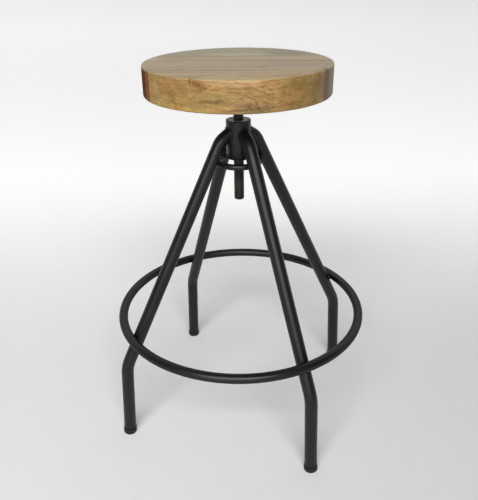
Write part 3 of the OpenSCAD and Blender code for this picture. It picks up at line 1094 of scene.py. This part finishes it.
def softbox(name, azimuth, elevation, size, power):
    """An oblong area lamp aimed at the stool's middle, from an azimuth counted as the camera's."""
    lamp = bpy.data.lights.new(name, "AREA")
    lamp.shape = "RECTANGLE"
    lamp.size, lamp.size_y = size
    lamp.energy = power
    held = linked(name, lamp)
    turn, lift = math.radians(azimuth), math.radians(elevation)
    away = Vector((math.sin(turn) * math.cos(lift), -math.cos(turn) * math.cos(lift), math.sin(lift)))
    held.location = LAMPS_AIM + LAMPS_AWAY * away
    held.rotation_euler = away.to_track_quat("Z", "Y").to_euler()
    held.visible_camera = False


def main_camera():
    """The camera, where the photograph was taken from."""
    made = bpy.data.cameras.new("camera")
    made.sensor_fit = "VERTICAL"
    made.sensor_height = FILM_HEIGHT
    made.lens = LENS
    held = linked("camera", made)
    level = Matrix.Translation(CAMERA_PLACE) @ Matrix.Rotation(CAMERA_TURN, 4, "Z")
    dipped = level @ Matrix.Rotation(math.pi / 2 - CAMERA_DIP, 4, "X")
    held.matrix_world = dipped @ Matrix.Rotation(CAMERA_ROLL, 4, "Z")
    bpy.context.scene.camera = held


def world_light(even, behind, mirrored, shown):
    """A faint even surround, with a low bright band behind the stool.

    Reflections see a tall backdrop (mirrored) in the band's place, and the camera a plain white (shown).
    """
    world = bpy.data.worlds.new("surround")
    bpy.context.scene.world = world
    world.use_nodes = True
    tree = world.node_tree
    tree.nodes.clear()
    path = add(tree, "ShaderNodeLightPath").outputs
    way = add(tree, "ShaderNodeTexCoord").outputs["Generated"]
    ahead = (-math.sin(CAMERA_TURN), math.cos(CAMERA_TURN), 0)
    beyond = vector_maths(tree, "DOT_PRODUCT", way, ahead)
    height = add(tree, "ShaderNodeSeparateXYZ", {"Vector": way}).outputs["Z"]
    band = times(tree, spread(tree, beyond, 0.0, 0.6), spread(tree, height, 0.15, 0.40, behind, 0.0))
    level = spread(
        tree, path["Is Glossy Ray"], 0.0, 1.0,
        plus(tree, band, even), spread(tree, beyond, -0.1, 0.6, even, mirrored), smooth=False,
    )
    level = spread(tree, path["Is Camera Ray"], 0.0, 1.0, level, shown, smooth=False)
    light = add(tree, "ShaderNodeBackground", {"Color": (1, 1, 1, 1), "Strength": level})
    add(tree, "ShaderNodeOutputWorld", {"Surface": light.outputs[0]})


# Materials

coat = powder_coat("black_powder_coat", edge_level=0.42)
ring_coat = powder_coat("ring_powder_coat", edge_level=0.1, wear=0.03)
steel = turned_steel(
    "blackened_steel", darker=(0.034, 0.034, 0.031), lighter=(0.058, 0.056, 0.049), metallic=0.55
)
bright_steel = turned_steel(
    "bright_steel", darker=(0.34, 0.355, 0.37), lighter=(0.46, 0.475, 0.49), metallic=0.3
)
zinc = zinc_plate("zinc_plate")
cap_plastic = moulded_plastic(
    "cap_plastic", light=(0.010, 0.010, 0.010), dark=(0.006, 0.006, 0.006), roughness=0.5, ior=1.38
)
nylon = moulded_plastic(
    "nylon", light=(0.74, 0.73, 0.68), dark=(0.66, 0.65, 0.60), roughness=0.45, ior=1.53
)

MATERIAL_OF_SLOT = {
    "black_coat": coat,
    "dark_steel": steel,
    "zinc_plate": zinc,
    "foot_plastic": cap_plastic,
    "white_nylon": nylon,
}
slot_of_node = {part["node"]: part["material_slot"] for part in frame["record"]["subparts"]}
for node_name, node_object in frame["nodes"].items():
    given = MATERIAL_OF_SLOT.get(slot_of_node[node_name])
    if given is not None:
        paint(node_object, given)

# Seat boards

# Glued joints as (across, from, to, strength), with from and to in mm along the boards
FRONT_JOINT = (BOARD_JOINTS[0], -150, 70, 1.0)
MIDDLE_JOINT = (BOARD_JOINTS[1], 25, 150, 0.8)
BACK_JOINT = (BOARD_JOINTS[2], -150, 60, 0.6)

# Lumps of colour on the boards as (place in mm, half sizes in mm, tint, strength); some are painted
# highlight and sheen
RIM_PATCHES = {
    "look_front": (
        ((-107, 38), (30, 25, 12), (1.0, 0.88, 0.80), 0.8),
        ((-79, 5), (2.5, 12, 9), (0.42, 0.33, 0.28), 0.9),
        ((-69, 8), (6, 12, 5), (0.60, 0.44, 0.38), 0.8),
        ((-60, 14), (6, 10, 7), (0.74, 0.58, 0.50), 0.7),
        ((-36, 12), (24, 14, 12), (1.2, 1.14, 1.2), 0.7),
        ((-125, 22), (56, 30, 15), (0.92, 0.84, 0.75), 0.8),
        # painted highlight: a pale band along the front rim's eased top edge
        ((0, 6), (62, 14, 6), (1.28, 1.40, 1.8), 0.9),
        ((-120, 50), (90, 50, 6), (1.28, 1.26, 1.15), 0.8),
        ((-46, 36), (27, 12, 4), (0.62, 0.54, 0.50), 0.8),
        ((-30, 33), (9, 10, 4), (0.66, 0.64, 0.62), 0.7),
        ((24, 47), (42, 12, 8), (0.56, 0.58, 0.64), 0.9),
        ((10, 40), (14, 10, 3.5), (0.60, 0.58, 0.56), 0.8),
        ((12, 24), (46, 12, 12), (0.90, 0.93, 0.96), 0.8),
        ((-16, 45), (9, 10, 4), (1.35, 1.3, 1.4), 0.6),
        ((118, 26), (60, 40, 40), (0.84, 0.80, 0.76), 0.9),
        ((84, 41), (17, 12, 5), (1.14, 0.94, 0.80), 0.8),
        ((158, 24), (24, 30, 40), (0.78, 0.73, 0.71), 1.0),
        ((-90, 19), (14, 12, 9), (0.82, 0.76, 0.76), 0.8),
        ((-22, 38), (16, 12, 6), (0.82, 0.82, 0.85), 0.8),
        ((50, 40), (14, 12, 8), (0.85, 0.86, 0.86), 0.8),
        ((-62, 49), (16, 14, 5), (1.2, 1.2, 1.2), 0.8),
        ((-10, 12), (36, 12, 9), (1.05, 1.13, 1.14), 0.8),
        ((-155, 24), (18, 20, 40), (1.06, 1.08, 1.0), 0.6),
        ((-180, 26), (6, 12, 40), (1.2, 1.04, 0.98), 0.7),
    ),
    "look_second": (
        ((184, 26), (13, 16, 60), (0.46, 0.41, 0.28), 1.0),
        ((-205, 26), (30, 40, 14), (1.05, 0.85, 0.95), 0.9),
    ),
}
TOP_PATCHES = {
    "look_front": (
        ((30, -154), (150, 26, 6), (1.16, 1.12, 1.06), 0.9),
    ),
    "look_second": (
        ((47, -54), (6, 5, 6), (0.32, 0.24, 0.22), 0.9),
        ((53, -45), (4, 9, 4), (0.6, 0.5, 0.48), 0.7),
        ((-150, -15), (24, 25, 10), (1.1, 1.14, 1.02), 0.7),
        ((95, -25), (60, 36, 10), (0.93, 0.88, 0.92), 0.9),
        ((-40, -55), (40, 18, 10), (0.98, 1.04, 1.06), 0.6),
    ),
    "look_third": (
        # painted sheen: the top's left end lighter and bluer, as glare
        ((-165, 35), (16, 44, 10), (1.2, 1.28, 1.4), 0.9),
        ((-110, 45), (35, 18, 10), (0.96, 0.90, 1.0), 0.7),
        ((120, 40), (35, 12, 10), (1.06, 1.0, 0.92), 0.7),
    ),
    "look_back": (
        ((-5, 84), (70, 17, 10), (1.46, 1.46, 1.38), 0.9),
        ((70, 142), (44, 18, 12), (0.82, 0.82, 0.80), 0.9),
        ((100, 105), (60, 45, 12), (0.72, 0.72, 0.64), 0.9),
        ((-60, 140), (30, 20, 12), (0.90, 0.94, 0.88), 0.7),
    ),
}

# Boards from the front to the back: their joints, and how each looks
BOARDS = {
    "look_front": (None, BOARD_JOINTS[0], dict(
        heart=(-130 * MM, SEAT_LOW - 90 * MM), ring=5.5 * MM, seed=1.0,
        side_tones=((0.385, 0.258, 0.090), (0.180, 0.103, 0.031)),
        painted_sheen_top_tones=((0.48, 0.36, 0.198), (0.315, 0.217, 0.106)),
        end_grain_and_sheen_tints=((0.95, 0.93, 0.85), (0.64, 0.68, 0.74)), joints=(FRONT_JOINT,), speckle=1.0,
    )),
    "look_second": (BOARD_JOINTS[0], BOARD_JOINTS[1], dict(
        heart=(-30 * MM, SEAT_LOW - 120 * MM), ring=6.5 * MM, seed=2.3,
        side_tones=((0.40, 0.27, 0.16), (0.24, 0.145, 0.085)),
        painted_sheen_top_tones=((0.44, 0.34, 0.215), (0.283, 0.205, 0.123)),
        end_grain_and_sheen_tints=((0.33, 0.235, 0.14), (0.465, 0.585, 0.47)), joints=(FRONT_JOINT, MIDDLE_JOINT),
    )),
    "look_third": (BOARD_JOINTS[1], BOARD_JOINTS[2], dict(
        heart=(60 * MM, SEAT_LOW + 140 * MM), ring=6 * MM, seed=3.9,
        side_tones=((0.42, 0.31, 0.17), (0.25, 0.165, 0.085)),
        painted_sheen_top_tones=((0.465, 0.348, 0.217), (0.307, 0.213, 0.125)),
        end_grain_and_sheen_tints=((0.55, 0.45, 0.42), (0.55, 0.54, 0.50)), joints=(MIDDLE_JOINT, BACK_JOINT),
    )),
    "look_back": (BOARD_JOINTS[2], None, dict(
        heart=(130 * MM, SEAT_LOW - 80 * MM), ring=6 * MM, seed=5.2,
        side_tones=((0.40, 0.30, 0.17), (0.22, 0.155, 0.08)),
        painted_sheen_top_tones=((0.40, 0.33, 0.21), (0.25, 0.205, 0.128)),
        end_grain_and_sheen_tints=((0.7, 0.65, 0.6), (0.65, 0.65, 0.58)), joints=(BACK_JOINT,),
    )),
}
for board_name, (low_joint, high_joint, figure) in BOARDS.items():
    patches = RIM_PATCHES.get(board_name, ()), TOP_PATCHES[board_name]
    wood = board_wood(board_name.replace("look", "wood"), *patches, **figure)
    paint(frame["nodes"][board_name.replace("look", "seat_board")], wood)
    seat_board(board_name, low_joint, high_joint, wood)

# Legs, rings and welds

swept_bar = swept_bar_tree()
for leg_name, leg_turn in LEG_TURNS.items():
    leg("leg_" + leg_name, leg_turn)
    foot_cap("foot_cap_" + leg_name, leg_turn)

for ring_name, ring_at, ring_z, ring_r, steps, sides in (
    ("foot_ring", RING_AT, RING_Z, RING_R, 240, 48), ("brace_hoop", HOOP_AT, HOOP_Z, HOOP_R, 96, 32),
):
    ring = swept(circle_points(ring_at, ring_z, steps), ring_r, sides, ring_coat, closed=True)
    stand_in(ring_name, ring, ring_coat, BAR_SHARP, "frame", "black_coat")

rng = np.random.default_rng(WELD_SEED)
turns = LEG_TURNS.values()
weld("hub_welds", joined([hub_weld(turn, rng) for turn in turns]))
for weld_name, ring_at, bar_r, side, bead in (
    ("foot_ring_welds", Vector((RING_AT, RING_Z)), RING_R, 1, RING_BEAD),
    ("hoop_welds", Vector((HOOP_AT, HOOP_Z)), HOOP_R, -1, HOOP_BEAD),
):
    weld(weld_name, joined([crossing_weld(turn, ring_at, bar_r, side, bead, rng) for turn in turns]))

# Hub, spindle and what holds the seat

section = rounded_ring(SLEEVE_BORE_R, HUB_R, HUB_LOW, HUB_HIGH, SLEEVE_EASE)
turned_piece("hub_sleeve", section, coat, "frame", "black_coat")
section = plug_profile(HUB_HIGH - NUT_LENGTH, HUB_HIGH, mouth_up=True)
turned_piece("screw_nut", section, bright_steel, "frame", "dark_steel")
section = plug_profile(HUB_LOW, HUB_LOW + BUSH_LENGTH, mouth_up=False)
turned_piece("guide_bush", section, bright_steel, "frame", "dark_steel")
section = rounded_ring(SPINDLE_R + WASHER_GAP, WASHER_R, WASHER_LOW, WASHER_HIGH, WASHER_EASE)
turned_piece("thrust_washer", section, nylon, "washer", "white_nylon")
section = rounded_ring(SPINDLE_R + BOSS_GAP, BOSS_R, BOSS_LOW, BOSS_HIGH, BOSS_EASE)
turned_piece("spindle_boss", section, coat, "seat", "black_coat")

spindle = threaded_spindle(SPINDLE_LOW, WASHER_LOW, SPINDLE_HIGH)
stand_in("screw_spindle", spindle, steel, THREAD_SHARP, "seat", "dark_steel")
bead_line = circle_points(BOSS_R + BOSS_BEAD_OUT, BOSS_HIGH - BOSS_BEAD_OUT, BOSS_BEAD[1])
beads = bead_along(bead_line, BOSS_BEAD, rng)
for vertex in beads.verts:
    vertex.co.z = min(vertex.co.z, BOSS_HIGH)
weld("boss_weld", beads, "seat")
mounting_plate()
plate_screws()

# Floor, light and camera

floor(
    "floor", albedos=(0.79, 0.85), near_left=0.12, middle=(0.48, 0.37), far=(0.07, 0.15), nearer=0.9
)
softbox("key_box", azimuth=11, elevation=44, size=(7.1, 1.9), power=485)
softbox("window_box", azimuth=8, elevation=20, size=(7.5, 2.3), power=310)
world_light(even=0.09, behind=2.2, mirrored=0.85, shown=0.94)
main_camera()

scene = bpy.context.scene
scene.view_settings.view_transform = "Standard"
